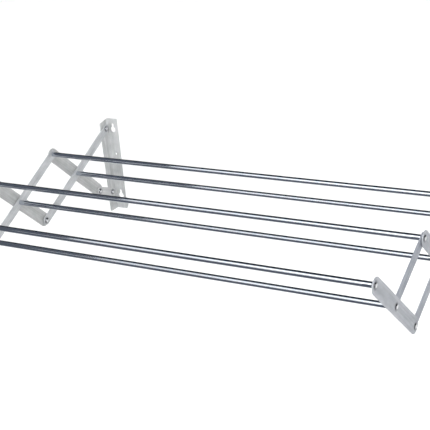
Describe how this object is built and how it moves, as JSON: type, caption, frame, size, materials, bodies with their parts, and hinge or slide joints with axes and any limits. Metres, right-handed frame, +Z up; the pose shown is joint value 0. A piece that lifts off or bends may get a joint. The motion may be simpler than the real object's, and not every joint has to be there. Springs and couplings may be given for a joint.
{
  "type": "wall mounted fold down drying rack",
  "caption": "Wall mounted drying rack of round rails carried by two flat-bar scissor frames that fold down against their wall brackets.",
  "frame": {"origin": "centre of the four keyhole entries, in the wall plane behind the brackets", "axes": "+X along the rails, +Y into the wall, so the rack reaches out towards -Y, +Z up"},
  "size_m": [0.8162, 0.5315, 0.1897],
  "materials": {
    "satin_steel": "satin, fine grain",
    "polished_tube": "polished",
    "bright_rivet": "polished",
    "washer": "moulded",
    "dark_plug": "moulded"
  },
  "bodies": {
    "wall_brackets": {"bracket_left": "satin_steel", "bracket_right": "satin_steel", "bracket_rivets": "bright_rivet", "stay_pivot_rivets": "bright_rivet", "bracket_washers": "washer", "stay_pivot_washers": "washer"},
    "stay_left": {"stay_left": "satin_steel", "stay_left_rivet": "bright_rivet"},
    "stay_right": {"stay_right": "satin_steel", "stay_right_rivet": "bright_rivet"},
    "inner_frame_1": {"inner_bar_1_left": "satin_steel", "inner_bar_1_right": "satin_steel", "lower_rail_1": "polished_tube", "lower_rail_1_plugs": "dark_plug", "cross_rivets_1": "bright_rivet", "cross_washers_1": "washer"},
    "plate_frame_1": {"wide_plate_1_left": "satin_steel", "wide_plate_1_right": "satin_steel", "upper_rail_1": "polished_tube", "upper_rail_1_plugs": "dark_plug", "upper_rivets_1": "bright_rivet", "upper_washers_1": "washer", "rear_stub_rivets": "bright_rivet", "rear_stub_washers": "washer"},
    "inner_frame_2": {"inner_bar_2_left": "satin_steel", "inner_bar_2_right": "satin_steel", "lower_rail_2": "polished_tube", "lower_rail_2_plugs": "dark_plug", "cross_rivets_2": "bright_rivet", "cross_washers_2": "washer"},
    "plate_frame_2": {"wide_plate_2_left": "satin_steel", "wide_plate_2_right": "satin_steel", "upper_rail_2": "polished_tube", "upper_rail_2_plugs": "dark_plug", "upper_rivets_2": "bright_rivet", "upper_washers_2": "washer", "lower_rivets_1": "bright_rivet", "lower_washers_1": "washer"},
    "inner_frame_3": {"inner_bar_3_left": "satin_steel", "inner_bar_3_right": "satin_steel", "lower_rail_3": "polished_tube", "lower_rail_3_plugs": "dark_plug", "cross_rivets_3": "bright_rivet", "cross_washers_3": "washer"},
    "plate_frame_3": {"wide_plate_3_left": "satin_steel", "wide_plate_3_right": "satin_steel", "upper_rail_3": "polished_tube", "upper_rail_3_plugs": "dark_plug", "upper_rivets_3": "bright_rivet", "upper_washers_3": "washer", "lower_rivets_2": "bright_rivet", "lower_washers_2": "washer"}
  },
  "joints": [
    {"name": "fold", "type": "hinge", "parent": "wall_brackets", "child": "inner_frame_1", "pos_m": [0, -0.0115, 0.0737], "axis": [1, 0, 0], "range_deg": [0, 46.5]},
    {"name": "plate_1_swing", "type": "hinge", "parent": "inner_frame_1", "child": "plate_frame_1", "pos_m": [0, -0.1185, 0.0152], "axis": [1, 0, 0], "range_deg": [-91.61, 0]},
    {"name": "inner_2_swing", "type": "hinge", "parent": "plate_frame_1", "child": "inner_frame_2", "pos_m": [0, -0.1815, 0.0737], "axis": [1, 0, 0], "range_deg": [0, 91.61]},
    {"name": "plate_2_swing", "type": "hinge", "parent": "inner_frame_2", "child": "plate_frame_2", "pos_m": [0, -0.2885, 0.0152], "axis": [1, 0, 0], "range_deg": [-91.61, 0]},
    {"name": "inner_3_swing", "type": "hinge", "parent": "plate_frame_2", "child": "inner_frame_3", "pos_m": [0, -0.3515, 0.0737], "axis": [1, 0, 0], "range_deg": [0, 91.61]},
    {"name": "plate_3_swing", "type": "hinge", "parent": "inner_frame_3", "child": "plate_frame_3", "pos_m": [0, -0.4585, 0.0152], "axis": [1, 0, 0], "range_deg": [-91.61, 0]},
    {"name": "stay_left_swing", "type": "hinge", "parent": "wall_brackets", "child": "stay_left", "pos_m": [0, -0.0165, -0.0583], "axis": [1, 0, 0], "range_deg": [0, 110.67]},
    {"name": "stay_right_swing", "type": "hinge", "parent": "wall_brackets", "child": "stay_right", "pos_m": [0, -0.0165, -0.0583], "axis": [1, 0, 0], "range_deg": [0, 110.67]}
  ],
  "couplings": [
    {"joint": "plate_1_swing", "follows": "fold", "ratio": -1.97},
    {"joint": "inner_2_swing", "follows": "fold", "ratio": 1.97},
    {"joint": "plate_2_swing", "follows": "fold", "ratio": -1.97},
    {"joint": "inner_3_swing", "follows": "fold", "ratio": 1.97},
    {"joint": "plate_3_swing", "follows": "fold", "ratio": -1.97},
    {"joint": "stay_left_swing", "follows": "fold", "ratio": 2.38},
    {"joint": "stay_right_swing", "follows": "fold", "ratio": 2.38}
  ]
}
